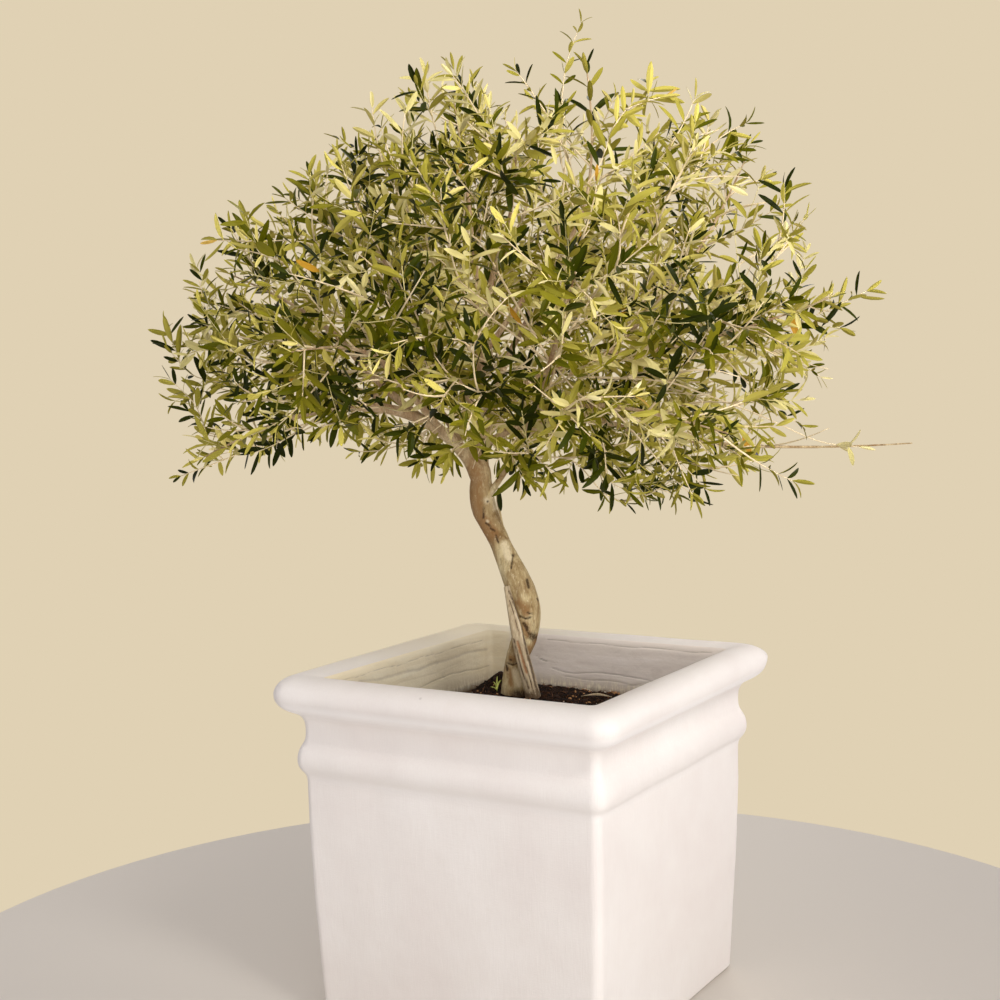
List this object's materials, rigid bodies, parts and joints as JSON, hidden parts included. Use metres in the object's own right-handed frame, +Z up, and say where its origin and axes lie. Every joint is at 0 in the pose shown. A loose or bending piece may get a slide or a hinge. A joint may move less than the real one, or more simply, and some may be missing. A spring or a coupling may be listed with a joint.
{
  "type": "potted olive tree",
  "caption": "Young olive tree with a bent trunk and an open rounded crown of small leaves, in a square white pot with a rolled rim and a bead below it.",
  "frame": {"origin": "centre of the pot's flat underside", "axes": "+Z up; +X along the pot's front face, to the right; +Y away from the front face"},
  "size_m": [1.2091, 1.2387, 1.7053],
  "materials": {
    "pot_render": "brushed matt white",
    "soil": "damp potting soil",
    "bark": "smooth young bark",
    "dead_wood": "weathered dry wood",
    "foliage": "satin leaf"
  },
  "bodies": {
    "root": {"pot": "pot_render", "soil": "soil", "trunk": "bark", "second_stem": "dead_wood", "bough_left": "bark", "bough_leader": "bark", "bough_front": "bark", "bough_right": "bark", "bough_right_mid": "bark", "bough_top_right": "bark", "bough_upper_right": "bark", "bough_left_mid": "bark", "bough_upper_left": "bark", "bough_front_left": "bark", "bough_front_right": "bark", "bough_back": "bark", "bough_back_left": "bark", "bough_back_right": "bark", "bough_top_back": "bark", "bough_top_front": "bark", "foliage_left": "foliage", "foliage_leader": "foliage", "foliage_front": "foliage", "foliage_right": "foliage", "foliage_right_mid": "foliage", "foliage_top_right": "foliage", "foliage_upper_right": "foliage", "foliage_left_mid": "foliage", "foliage_upper_left": "foliage", "foliage_front_left": "foliage", "foliage_front_right": "foliage", "foliage_back": "foliage", "foliage_back_left": "foliage", "foliage_back_right": "foliage", "foliage_top_back": "foliage", "foliage_top_front": "foliage"}
  },
  "joints": []
}
